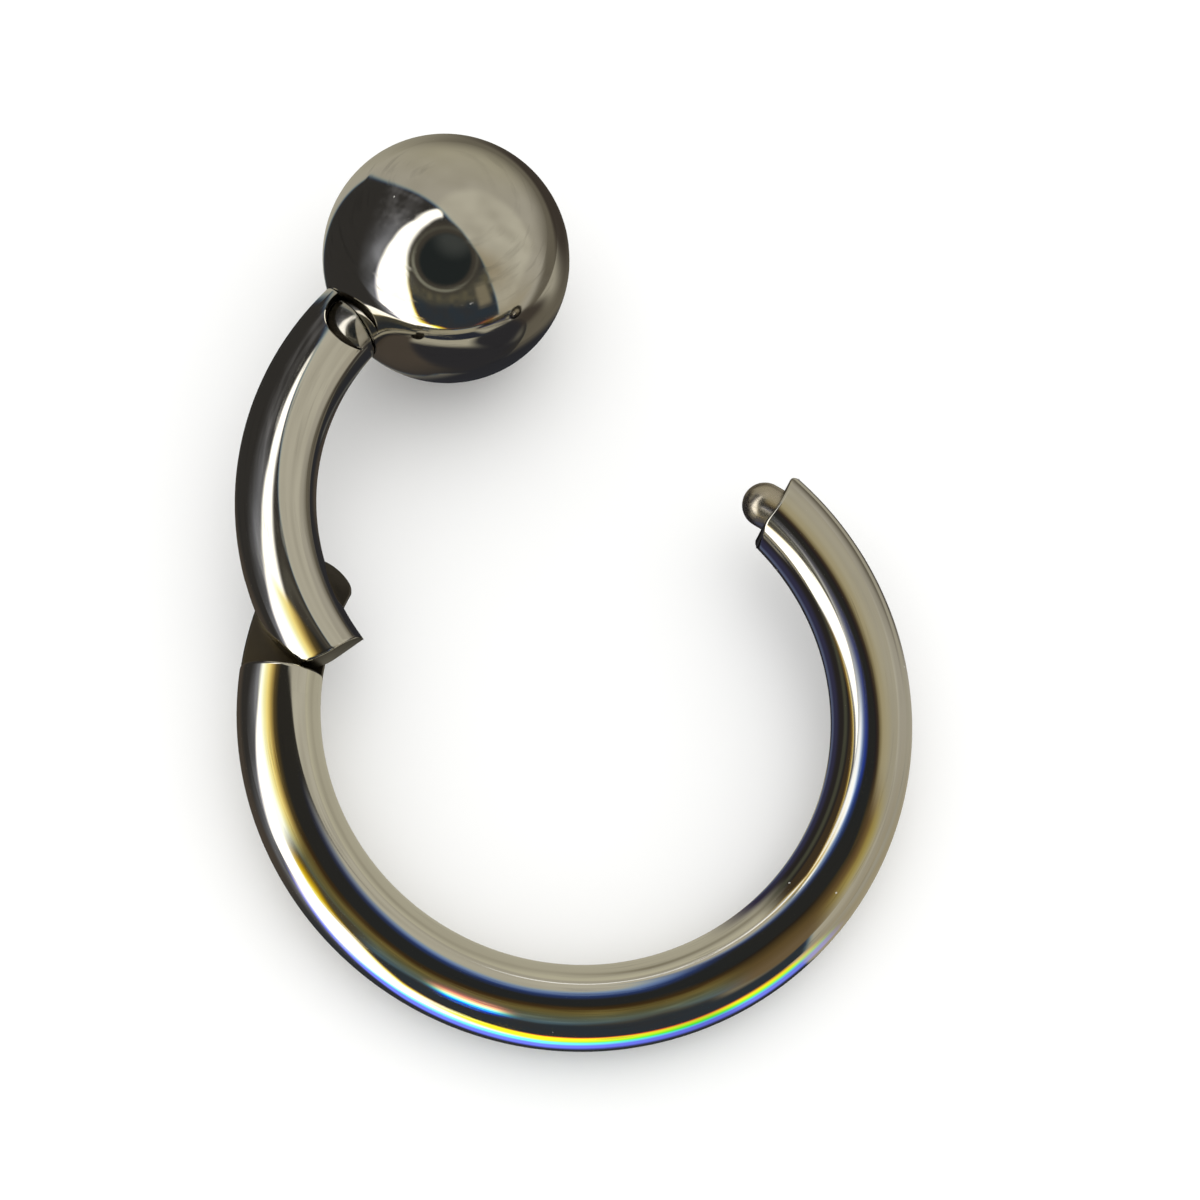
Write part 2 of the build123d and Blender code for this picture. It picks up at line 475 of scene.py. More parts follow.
def hinged_segment():
    """The short arc that swings, from the hinge's leaf to the ball."""
    shell = Shell()
    half = half_section(leaf_turns())
    loop = np.concatenate([half, -half[::-1]])
    radii = plan_radii(half)
    loop_radii = plan_radii(loop)
    rise = wire_radius * np.sin(half)
    seat = ball_seat(loop_radii, wire_radius * np.sin(loop))
    turns = stretch(seat, segment_cut(loop_radii), segment_steps)
    shell.grid(wire_points(turns, loop), loop=True)
    leaf = stretch(segment_cut(radii), leaf_end(radii), lap_steps)
    shell.grid(wire_points(leaf, half))
    end_wall(shell, segment_cut, half, -rise, half_lap_gap)
    end_wall(shell, leaf_end, half, half_lap_gap, rise)
    end_wall(shell, ball_seat, half, -rise, rise, rows=12)
    near = plan_points(segment_cut(radii), radii, half_lap_gap)
    far = plan_points(leaf_end(radii), radii, half_lap_gap)
    inner = wire_points(leaf[:, -1], half[-1])
    outer = wire_points(leaf[:, 0], half[0])
    shell.face([*near, *inner[1:-1], *far[::-1], *outer[::-1][1:-1]])
    return round_edges(shell.finish("hinged_segment"))


def turned(name, profile, start, direction):
    """A turned piece along a direction from a point. The profile is distances along it and radii."""
    piece = closed(name, [plan_points(full_turn, radius, along) for along, radius in profile])
    facing = direction.to_track_quat("Z", "Y").to_matrix().to_4x4()
    piece.data.transform(Matrix.Translation(start) @ facing)
    return piece


def bar(name, start, direction, radius, length):
    """Plain round bar along a direction from a point, to cut with."""
    return turned(name, [(0, radius), (length, radius)], start, direction)


def dome_rows(radius, middle):
    """Profile of a half ball round a middle, from its widest place to its top."""
    turns = np.linspace(0, pi / 2, dome_steps, endpoint=False)
    return [(middle + radius * sin(turn), radius * cos(turn)) for turn in turns]


def torus_height(places):
    """Height of the wire's top over places in plan, and nought beside the wire."""
    reach = np.hypot(places[:, 0], places[:, 1])
    return np.sqrt(np.clip(wire_radius**2 - (reach - ring_radius) ** 2, 0, None))


def boss_cutter(side):
    """What is taken off the segment's upper or lower side to leave the crowned boss in its groove."""

    def row(radius, heights):
        return plan_points(full_turn, radius, side * heights) + np.array(boss_middle)

    wall_radius = boss_radius + boss_groove_width
    rim_radius = wall_radius + 2 * boss_rim_rounding
    rim = np.maximum(torus_height(row(wall_radius, 0)), boss_groove_floor + 2 * boss_rim_rounding)
    top = wire_radius + boss_rim_rounding * 3
    crown_edge = sqrt(boss_crown_radius**2 - boss_radius**2)
    widest_tilt = asin((boss_radius - boss_rim_rounding) / boss_crown_radius)
    tilts = np.linspace(0, widest_tilt, dome_steps)[1:]
    profile = [(point_radius, boss_crown_radius)]
    profile += [(boss_crown_radius * sin(tilt), boss_crown_radius * cos(tilt)) for tilt in tilts]
    profile += [(boss_radius, crown_edge - boss_rim_rounding), (boss_radius, boss_groove_floor)]
    profile += [(wall_radius, boss_groove_floor), (wall_radius, rim - boss_rim_rounding)]
    profile += [(rim_radius, rim + boss_rim_rounding), (rim_radius, top), (point_radius, top)]
    return closed("boss_cutter", [row(radius, heights) for radius, heights in profile])


def catch_pin():
    """The dome-headed pin that the ball snaps over."""
    seat = catch_end - catch_outward * (catch_head_seat - catch_seat_gap)
    straight = catch_head_stand + catch_head_seat - catch_seat_gap - catch_head_radius
    profile = [(-catch_shank_length, catch_shank_radius), (0, catch_shank_radius), (0, catch_head_radius)]
    profile += [(straight * part / 8, catch_head_radius) for part in range(1, 8)]
    profile += dome_rows(catch_head_radius, straight)
    profile += [(straight + catch_head_radius, 2 * point_radius)]
    return turned("catch_pin", profile, seat, catch_outward)


def hinge_pin():
    """Pin from inside the leaf, where it is polished flush, through the lug to the wire's underside."""
    middle = np.array(hinge_point)
    radii = (point_radius, hinge_pin_radius)
    rows = [plan_points(full_turn, radius, leaf_pin_top) + middle for radius in radii]
    for radius in np.linspace(hinge_pin_radius, 0, 12):
        row = plan_points(full_turn, max(radius, point_radius), 0.0) + middle
        row[:, 2] = -torus_height(row)
        rows.append(row)
    return closed("hinge_pin", rows)


def ball():
    """The ball, with its bore for the segment's peg and its socket for the catch pin."""
    shell = bmesh.new()
    bmesh.ops.create_icosphere(shell, subdivisions=7, radius=ball_radius)
    data = mesh_data("ball", shell)
    data.transform(Matrix.Translation(ball_point))
    return add_object("ball", data)


def catch_socket():
    """Cutters for the socket: its round end, its mouth and the way out as the segment opens."""
    dome_centre = catch_end + catch_outward * (catch_head_stand - catch_head_radius)
    radius = catch_head_radius + socket_gap
    profile = [(-past_wire, radius), *dome_rows(radius, 0), (radius, point_radius)]
    mouth = turned("socket_mouth", profile, dome_centre, catch_outward)
    away = dome_centre - hinge_point
    across = away.length + radius * np.cos(full_turn[::2])
    heights = radius * np.sin(full_turn[::2])
    ways = atan2(away.y, away.x) - np.linspace(0, socket_release_turn, 9)
    rows = [plan_points(way, across, heights) + np.array(hinge_point) for way in ways]
    return [mouth, closed("socket_way", rows)]


def camera():
    """The camera at the photograph's place and angle, given in the ring's frame."""
    place_in_ring = Vector((-3.764, -10.6047, 40.4241))
    tip_back = -0.3056
    tip_side = 0.1029
    eye = add_object("camera", bpy.data.cameras.new("camera"))
    axes = (Matrix.Rotation(tip_back, 3, "X") @ Matrix.Rotation(tip_side, 3, "Y")).transposed()
    turned_axes = ring_place.to_3x3().normalized() @ axes
    eye.matrix_world = Matrix.Translation(ring_place @ place_in_ring) @ turned_axes.to_4x4()
    eye.data.sensor_width = 36
    eye.data.lens = 64.44
    eye.data.clip_start = MILLIMETRE
    bpy.context.scene.camera = eye


def shown(*colour):
    """Light that the steel shows as a display colour."""
    return (np.array(colour, float) / 255) ** 2.2 / np.array(steel_colour)


def step(values, edge, softness):
    """Smooth step from 0 to 1 round an edge."""
    share = np.clip((values - edge) / softness + 0.5, 0, 1)
    return share * share * (3 - 2 * share)


def between(values, low, high, softness):
    """Smooth 1 between two edges and 0 outside them."""
    return step(values, low, softness) * (1 - step(values, high, softness))


def layered(base, *layers):
    """Lays display colours over a light one after the other, each with its cover from 0 to 1."""
    for colour, cover in layers:
        base = base + (shown(*colour) - base) * cover[:, None]
    return base


def blend(first, second, share):
    """Blends two lists of lights."""
    return first + (second - first) * share[:, None]


def on_plan(azimuth, drop):
    """Places in a plan of the dome, where the distance from the middle is the drop in degrees."""
    turns = np.radians(azimuth)
    return np.stack([drop * np.cos(turns), drop * np.sin(turns)], -1)


def directions(azimuth, drop):
    """Unit vectors, from degrees round and degrees down from straight up."""
    turns, drops = np.radians(azimuth), np.radians(drop)
    return np.stack([np.sin(drops) * np.cos(turns), np.sin(drops) * np.sin(turns), np.cos(drops)], -1)


def disc(places, middle, radius, softness):
    """Smooth 1 inside a disc of the plan and 0 outside it."""
    return 1 - step(np.hypot(*(places - middle).T), radius, softness)


def round_middle(places):
    """Distance of places in the plan from the ring's middle, and their direction from it in degrees."""
    from_middle = places - ring_middle
    azimuth = np.degrees(np.arctan2(from_middle[:, 1], from_middle[:, 0])) % 360
    return np.hypot(*from_middle.T), azimuth


def clouds(places, size, seed):
    """Smooth noise from 0 to 1 over places in a plane, with patches of about a size."""
    knots = np.random.default_rng(seed).uniform(0, 1, (64, 64))
    spots = places / size + 1000
    low = np.floor(spots).astype(int)
    share = spots - low
    share = share * share * (3 - 2 * share)

    def knot(x, y):
        return knots[(low[:, 0] + x) % 64, (low[:, 1] + y) % 64]

    near = knot(0, 0) + (knot(1, 0) - knot(0, 0)) * share[:, 0]
    far = knot(0, 1) + (knot(1, 1) - knot(0, 1)) * share[:, 0]
    return near + (far - near) * share[:, 1]


def depth_inside(places, corners):
    """Distance inside a closed outline in the plan, negative outside it."""
    nearest = np.full(len(places), np.inf)
    inside = np.zeros(len(places), bool)
    for start, end in zip(corners, np.roll(corners, -1, axis=0)):
        way = end - start
        share = np.clip((places - start) @ way / (way @ way), 0, 1)
        nearest = np.minimum(nearest, np.hypot(*(places - start - share[:, None] * way).T))
        spans = (start[1] > places[:, 1]) != (end[1] > places[:, 1])
        beside = (places[:, 0] - start[0]) * way[1] < (places[:, 1] - start[1]) * way[0]
        inside ^= spans & (beside == (way[1] > 0))
    return np.where(inside, nearest, -nearest)


def rounded(corners, rounds=3):
    """An outline with its corners cut off a few times."""
    for _ in range(rounds):
        way = (np.roll(corners, -1, axis=0) - corners) / 4
        corners = np.stack([corners + way, corners + 3 * way], 1).reshape(-1, 2)
    return corners


# Outline of the card in the tent, as degrees round and degrees down from straight up
card_outline = [
    (-46, 180), (-45, 110), (-42, 92), (-40.5, 70), (-38.5, 52), (-32, 34), (-20, 18), (5, 10), (50, 8),
    (85, 10), (105, 15), (113, 22), (119, 31), (124, 43), (127, 56), (127.5, 70), (125, 84), (120, 100),
    (116, 130), (114, 180), (90, 180), (60, 180), (30, 180), (0, 180), (-25, 180),
]
card_band = ((-60, 0, 11, 22, 38, 58, 83, 108, 120), (92, 72, 72, 70, 60, 49, 41, 32, 28))

# The lamp's upper and lower edge, and how far its red and blue edges lie beside the green one. Its
# tails are how much of the blue's cover the red and the green have at least.
lamp_azimuths = (112, 120, 150, 170, 180, 190, 200, 210, 225, 240, 265, 291, 317)
lamp_near = {
    "green": (23, 20, 24, 29, 33, 38, 43, 50, 65, 87, 100, 101, 98),
    "red": (0, 0, 0, 0, 0, 0, 0, 0, -1, -2, -3, -4, -6),
    "blue": (0, 0, 0, 0, 0, 0, 1, 1, 3, 9, 18, 19, 14),
    "softness": (3, 3, 4, 5, 5, 6, 7, 7, 7, 8, 8, 9, 14),
}
lamp_far = {
    "green": (23, 27, 34, 48, 59, 75, 88, 98, 112, 122, 132, 125, 114),
    "red": (0, 0, 0, 0, 0, 0, 0, 0, -1, -8, -17, -17, -8),
    "blue": (0, 0, 0, 0, 0, 1, 1, 3, 9, 22, 24, 26, 26),
    "softness": (3, 3, 4, 5, 8, 9, 10, 11, 12, 14, 20, 22, 20),
}
lamp_strength = (1, 1, 1, 1, 1, 1, 1, 1, 1, 1, 1, 0.6, 0.42)
lamp_light = shown(300, 293, 274)
lamp_tails = (0.12, 0.16, 0.0)
wall_fringe = 0.3
lens_ahead = directions(-110, 21)
dark_discs = (((-3, 2.4), 3.9), ((3.4, -0.3), 3.4), ((-0.6, 3.6), 2.2), ((1.6, 1.6), 1.6))


def lamp_cover(azimuth, drop, fringe):
    """The lamp's share of each direction's red, green and blue, with coloured fringes."""

    def along(values):
        return np.interp(azimuth, lamp_azimuths, values)

    def past(table, shift):
        line = along(table["green"]) + (fringe * along(table[shift]) if shift else 0)
        return step(drop, line, along(table["softness"]))

    ends = step(azimuth, 117, 8) * (1 - step(azimuth, 322, 8)) * along(lamp_strength)
    shifts = ("red", None, "blue")
    covers = [past(lamp_near, shift) * (1 - past(lamp_far, shift)) * ends for shift in shifts]
    return np.maximum(np.stack(covers, -1), np.outer(covers[-1], lamp_tails))


def wall_colours(azimuth, drop, fringe):
    """Colours of the tent's wall in each direction, which the table takes on below."""
    plan = on_plan(azimuth, drop)
    signed = (azimuth + 180) % 360 - 180
    front = step(np.cos(np.radians(azimuth - 270)), 0.3, 0.6)
    left = step(-np.cos(np.radians(azimuth - 330)), 0.4, 0.6)
    left_spots = clouds(plan, 6, 7) * clouds(plan, 3, 8) * 1.6
    beyond = np.interp(azimuth, (150, 170, 190, 200, 225), (36, 50, 75, 88, 112))
    haze = between(azimuth, 158, 225, 40) * between(drop, beyond - 8, beyond + 18, 34)
    colours = layered(
        shown(50, 48, 45),
        # Mottled front, between the camera and the table
        ((50, 51, 52), front),
        ((88, 83, 66), front * between(drop, 40, 64, 14) * (0.4 + 0.6 * clouds(plan, 5, 1))),
        ((44, 52, 58), front * between(drop, 64, 88, 12) * clouds(plan, 7, 3) * 0.8),
        # Dim upper left, with the lamp's haze
        ((84, 82, 80), left * between(drop, 38, 62, 14) * left_spots),
        ((150, 150, 152), haze * (0.25 + 0.75 * clouds(plan, 9, 11)) * 0.7),
    )
    lamp = lamp_cover(azimuth, drop, fringe)
    colours += (lamp_light - colours) * lamp

    # Grey-beige card over the right and the back
    beige = layered(
        shown(155, 149, 133),
        ((172, 166, 147), 1 - step(drop, np.interp(signed, *card_band), 9)),
        ((143, 137, 120), clouds(plan, 22, 21) * clouds(plan, 9, 22) * 0.8),
        ((160, 153, 124), between(signed, 62, 112, 30) * step(drop, 60, 50) * 0.5),
        ((118, 101, 66), step(-signed, 14, 36) * (1 - step(drop, 62, 50)) * 0.55),
        ((144, 131, 98), step(-signed, 4, 40) * step(drop, 84, 40) * 0.6),
        ((94, 88, 75), between(signed, 22, 104, 26) * step(drop, 83, 28)),
    )
    depth = depth_inside(plan, rounded(on_plan(*np.array(card_outline, float).T)))
    cover = np.stack([step(depth + shift, 0.0, 3.0) for shift in (-0.3, 0.0, 0.4)], -1)
    colours += (beige - colours) * cover

    # The lamp's end on the table, over the card's foot
    colours += (lamp_light - colours) * lamp * (step(azimuth, 300, 8) * step(drop, 91, 3))[:, None]

    # Wedge beside the lens, and the lens of the camera with its rim
    beside = 1 - cover[:, 1]
    ways = directions(azimuth, drop)
    off = np.degrees(np.arccos(np.clip(ways @ lens_ahead, -1, 1)))
    lower_left = 0.16 + 0.84 * step((lens_ahead - ways) @ np.array([0.6, 0.8, 0]), 0.12, 0.4)
    lens = 1 - step(off, 23.5, 4)
    return layered(
        colours,
        ((116, 108, 88), between(signed, -60, -46, 6) * between(drop, 48, 72, 9) * beside),
        ((62, 58, 51), (1 - step(off, 33, 7)) * beside),
        ((122, 120, 104), between(off, 27.3, 29.8, 2.2) * lower_left * beside),
        ((37, 40, 39), lens),
        ((60, 62, 59), lens * (1 - step(drop, 14, 16))),
    )


def table_colours(places, near_wire):
    """Colours of the table at places in millimetres, as the ball shows them or as the wire does, with
    painted shadow of the ball and the ring beside them.
    """
    reach, azimuth = round_middle(places)
    beyond = np.maximum(reach - ring_outer_radius, point_radius)
    drop = 90 + np.degrees(np.arctan2(wire_eye_height, beyond))
    outside = wall_colours(azimuth, drop, 1.0 if near_wire else wall_fringe)
    if near_wire:
        right = between(azimuth, 2, 70, 20) + between(azimuth, 325, 378, 20)
        outside = layered(
            outside,
            ((150, 144, 126), np.clip(right, 0, 1) * between(reach, 9.4, 23, 2.5)),
            ((70, 63, 55), between(azimuth, 118, 212, 20) * (1 - step(reach, 9.5, 3))),
        )
    outside = layered(
        outside,
        # Painted shadow of the ball on the table
        ((56, 50, 44), disc(places, (3.4, 13), 5, 4) * 0.95),
        ((44, 44, 46), disc(places, (-1.4, 5.5), 2.3, 1.2)),
        # Painted shadow along the ring's outer side
        ((60, 54, 48), between(azimuth, 18, 62, 16) * between(reach, 6, 9.2, 2) * 0.9),
    )
    inside = shown(154, 148, 128)
    for place, radius in dark_discs:
        inside = layered(inside, ((46, 45, 46), disc(places, place, radius, 1.4)))
    within = 1 - step(reach, ring_outer_radius - 0.4, 0.8)
    colours = blend(outside, inside, within)
    if near_wire:
        return colours
    return layered(
        colours,
        ((42, 44, 50), within * (1 - step(places[:, 0], 3.2, 1.6))),
        ((42, 44, 50), disc(places, (-1.4, 4.8), 4.4, 1.6)),
    )


# The near sheet, which paints reflections onto the wire's top, and its edges by direction: where the card
# ends, the dark ends and the sheet ends
sheet_azimuths = (168, 180, 190, 215, 240, 265, 290, 305, 316, 336, 345, 357, 378, 397, 420)
sheet_card_edge = (0.6, 1.3, 2.2, 2.9, 3.5, 3.9, 3.6, 2.6, 1.9, 2.8, 3.2, 3.25, 2.6, 1.6, 1.5)
sheet_dark_edge = (6.5, 6.6, 6.8, 7.6, 8.0, 7.5, 7.4, 7.2, 7.2, 8.2, 7.6, 6.8, 5.6, 4.9, 4.6)
sheet_far_edge = (11, 11, 11, 18.5, 13.5, 14.5, 11, 14, 18.5, 17.5, 17, 16, 15, 15, 15)
sheet_blueness = (0, 0, 0.1, 0.5, 1, 1, 1, 1, 0.6, 0.6, 1, 1, 0.6, 0.1, 0)

# Colours across the near sheet's edges, by millimetres past the edge
sheet_stops = {
    "plain": ((-1, (150, 145, 130)), (0.2, (92, 90, 84)), (0.9, (44, 42, 38))),
    "blue": ((-1, (152, 166, 158)), (0, (98, 118, 156)), (0.6, (44, 58, 98)), (1.4, (40, 41, 40))),
    "lit plain": (
        (-0.6, (255, 252, 245)), (0, (168, 165, 156)), (0.6, (92, 90, 86)), (1.5, (43, 42, 39)),
    ),
    "lit blue": (
        (-0.9, (255, 250, 225)), (-0.4, (250, 254, 255)), (-0.1, (150, 172, 205)), (0.25, (68, 88, 140)),
        (0.7, (42, 58, 130)), (1.3, (41, 41, 39)),
    ),
    "left": (
        (-0.8, (46, 43, 36)), (0, (84, 70, 42)), (0.7, (176, 149, 82)), (1.5, (240, 216, 128)),
        (2.4, (246, 238, 172)), (3.7, (275, 275, 250)),
    ),
    "below": (
        (-0.9, (44, 39, 30)), (-0.2, (58, 44, 26)), (0.6, (96, 84, 48)), (1.8, (82, 80, 55)),
        (3.2, (84, 92, 80)), (5.5, (68, 84, 90)),
    ),
    "veil": ((10.2, (72, 66, 52)), (11.2, (93, 78, 37)), (13.4, (192, 152, 30)), (17.5, (254, 239, 84))),
    "low right": ((-0.8, (40, 35, 30)), (0, (66, 54, 34)), (1.4, (88, 72, 45)), (5, (102, 86, 62))),
    "amber": (
        (-0.8, (60, 53, 37)), (0.2, (84, 66, 44)), (1.4, (110, 90, 54)), (2.4, (143, 124, 68)),
        (4, (155, 140, 84)), (7, (159, 149, 114)),
    ),
    "right": (
        (-0.8, (40, 35, 36)), (-0.3, (60, 50, 38)), (0.2, (126, 114, 82)), (0.7, (153, 142, 110)),
        (1.9, (156, 147, 118)), (4, (152, 145, 124)),
    ),
}
spot_rings = ((11.2, 1.1), (12.2, 1.4), (13.6, 2.2))


def across(name, values):
    """Light across one of the near sheet's edges, blended along values from its stops."""
    places, colours = zip(*sheet_stops[name])
    lights = np.array([shown(*colour) for colour in colours])
    return np.stack([np.interp(values, places, light) for light in lights.T], -1)


def sheet_colours(places):
    """Colours and cover of the near sheet at places in millimetres: painted reflections that only the
    wire close below shows.
    """
    reach, azimuth = round_middle(places)
    azimuth = np.where(azimuth < 90, azimuth + 360, azimuth)

    def along(values):
        return np.interp(azimuth, sheet_azimuths, values)

    # Edge of the card, through blue to dark, and lit by the lamp on the right
    past_card = reach - along(sheet_card_edge)
    blueness = along(sheet_blueness)
    lit = step(azimuth, 352, 12)
    tongue = blend(across("lit plain", past_card), across("lit blue", past_card), blueness)
    yellow = (1 - step(azimuth, 372, 16)) * (1 - step(past_card, -1.0, 0.4))
    tongue = layered(tongue, ((196, 166, 84), yellow))
    inner = blend(blend(across("plain", past_card), across("blue", past_card), blueness), tongue, lit)

    # Beyond the dark: yellow to white on the left, olive below, amber lower right, beige on the right
    past = reach - along(sheet_dark_edge)
    around = np.stack([azimuth * 0.12, reach], -1)
    grain = clouds(around, 0.9, 31) * clouds(around * (1, 2.5), 0.6, 32)
    below = across("below", past)
    veil = across("veil", reach - 0.35 * np.clip(azimuth - 214, 0, 12))
    outer = blend(across("left", past), blend(below, below * 1.7, grain), step(azimuth, 204, 12))
    outer = blend(outer, veil, between(azimuth, 205, 228, 8) * step(reach, 10.2, 1.4))
    for name, start, softness in (("low right", 303, 12), ("amber", 328, 14), ("right", 348, 12)):
        outer = blend(outer, across(name, past), step(azimuth, start, softness))
    colours = blend(inner, outer, step(past, -0.9, 0.4))
    cover = step(past_card, -0.7 - 0.75 * lit - 0.8 * step(azimuth, 384, 14), 0.8)
    cover *= (1 - step(reach, along(sheet_far_edge), 3.0)) * step(azimuth, 167, 6)
    cover *= 1 - 0.3 * step(azimuth, 366, 20) * step(past, 1.5, 1.0)
    cover *= 1 - step(azimuth, 409, 8)

    # Bright spot with the lamp's fringes: a painted highlight
    length = np.exp(-(((azimuth - 251.5) / 7) ** 4))
    rings = [np.exp(-(((reach - middle) / width) ** 2)) for middle, width in spot_rings]
    glow = length[:, None] * np.stack(rings, -1)
    most = glow.max(-1)
    share = np.clip(most * 1.2, 0, 1)
    spot = glow * shown(290, 290, 290) / np.maximum(most, 0.001)[:, None]
    return blend(colours, spot, share), np.maximum(cover, share)


# Painted reflections on the ring's inner side, glowing just inside the wire, by degrees round the ring:
# the brown line's height and depth, and the upper edge
inner_reflection_line_height = ((185, 205, 225, 245, 265, 285), (0.37, 0.46, 0.57, 0.63, 0.5, 0.6))
inner_reflection_line_depth = (
    (185, 205, 225, 245, 265, 275, 285, 300),
    (0.16, 0.2, 0.3, 0.2, 0.16, 0.35, 0.7, 0.5),
)
inner_reflection_top = (
    (185, 225, 300, 318, 325, 345, 360, 380, 400),
    (0.72, 0.88, 1.02, 1.1, 1.3, 1.1, 0.9, 0.6, 0.26),
)


def inner_reflection_colours(turns, height):
    """Colours and cover of the painted reflections on the ring's inner side, beige on the left and below
    and dark on the right, with a painted yellow highlight along part of the upper edge.
    """
    line_height = np.interp(turns, *inner_reflection_line_height)
    line = np.exp(-(((height - line_height) / inner_reflection_line_width) ** 2))
    line *= np.interp(turns, *inner_reflection_line_depth)
    right = step(turns, 316, 12)
    yellow = between(turns, 318, 376, 20)
    top = np.interp(turns, *inner_reflection_top)
    colours = layered(
        shown(160, 154, 133),
        ((92, 84, 66), line),
        ((172, 166, 142), step(height, line_height + 0.2, 0.2)),
        ((50, 44, 62), step(turns, 306, 16) * (1 - step(height, 0.3, 0.5))),
        ((43, 40, 38), right),
        ((51, 50, 68), right * (1 - step(height, 0.1, 0.3))),
        ((68, 68, 56), right * between(height, 0.42, 0.58, 0.14)),
        ((61, 51, 38), right * step(height, 0.7, 0.1)),
        ((80, 86, 106), step(turns, 314, 12) * (1 - step(height, -0.34, 0.3))),
        ((112, 88, 46), step(height, top - 0.12, 0.1) * yellow),
        ((255, 222, 112), step(height, top - 0.03, 0.06) * yellow),
    )
    return colours, 1 - step(height, top, 0.14)


class Shader:
    """Adds nodes to a material, each fed by numbers or by other nodes' sockets."""

    def __init__(self, name):
        self.material = bpy.data.materials.new(name)
        self.material.use_nodes = True
        self.tree = self.material.node_tree
        self.surface = self.tree.nodes["Principled BSDF"]

    def put(self, kind, settings=None, **inputs):
        """A node with its settings and inputs. An underscore stands for a space in an input's name."""
        node = self.tree.nodes.new(kind)
        for name, value in (settings or {}).items():
            setattr(node, name, value)
        for name, value in inputs.items():
            self.feed(node.inputs[name.replace("_", " ")], value)
        return node

    def feed(self, socket, value):
        """Sets a socket to a number or links another socket to it."""
        if isinstance(value, bpy.types.NodeSocket):
            self.tree.links.new(value, socket)
        else:
            socket.default_value = value

    def sum(self, first, second, operation="ADD"):
        """Two numbers taken together."""
        node = self.put("ShaderNodeMath", {"operation": operation})
        self.feed(node.inputs[0], first)
        self.feed(node.inputs[1], second)
        return node.outputs["Value"]

    def ramp(self, value, low, high, to_low=0.0, to_high=1.0):
        """A number carried from one span to another, and held at its ends."""
        spans = {"From_Min": low, "From_Max": high, "To_Min": to_low, "To_Max": to_high}
        return self.put("ShaderNodeMapRange", Value=value, **spans).outputs["Result"]

    def noise(self, places, stretch, scale, detail=3.0):
        """Noise over places, stretched by an amount on each axis."""
        mapping = self.put("ShaderNodeMapping", Vector=places, Scale=stretch)
        where = mapping.outputs["Vector"]
        node = self.put("ShaderNodeTexNoise", Vector=where, Scale=scale, Detail=detail)
        return node.outputs["Fac"]

    def mix(self, share, first, second):
        """Two colours mixed by a share."""
        node = self.put("ShaderNodeMix", {"data_type": "RGBA"})
        for socket, value in ((0, share), (6, first), (7, second)):
            self.feed(node.inputs[socket], value)
        return node.outputs[2]


def glow_material(name):
    """Light from a mesh's colours, let through where their cover is low and from beyond their range."""
    shader = Shader(name)
    shader.tree.nodes.remove(shader.surface)
    put, feed = shader.put, shader.feed
    light = put("ShaderNodeAttribute", {"attribute_name": "light"}).outputs
    span = put("ShaderNodeAttribute", {"attribute_name": "range"}).outputs["Fac"]
    near = shader.sum(put("ShaderNodeLightPath").outputs["Ray Length"], span, "LESS_THAN")
    mixed = put("ShaderNodeMixShader", Fac=shader.sum(near, light["Alpha"], "MULTIPLY"))
    feed(mixed.inputs[1], put("ShaderNodeBsdfTransparent").outputs["BSDF"])
    feed(mixed.inputs[2], put("ShaderNodeEmission", Color=light["Color"]).outputs["Emission"])
    feed(shader.tree.nodes["Material Output"].inputs["Surface"], mixed.outputs["Shader"])
    shader.material.cycles.emission_sampling = "NONE"
    return shader.material


def reflected_only(name, points, colours, cover=1.0, span=100.0, placement=flat_place, loop=True):
    """A glowing sheet that only reflections show, from a grid of points in millimetres."""
    shell = Shell()
    shell.grid(points, loop)
    data = mesh_data(name, shell.mesh)
    data.transform(placement)
    layer = data.color_attributes.new("light", "FLOAT_COLOR", "POINT")
    layer.data.foreach_set("color", np.column_stack([colours, np.ones(len(colours)) * cover]).ravel())
    spans = data.attributes.new("range", "FLOAT", "POINT")
    spans.data.foreach_set("value", np.ones(len(colours)) * span * MILLIMETRE)
    data.materials.append(glow_material(name))
    sheet = add_object(name, data)
    for rays in ("camera", "diffuse", "transmission", "volume_scatter", "shadow"):
        setattr(sheet, "visible_" + rays, False)


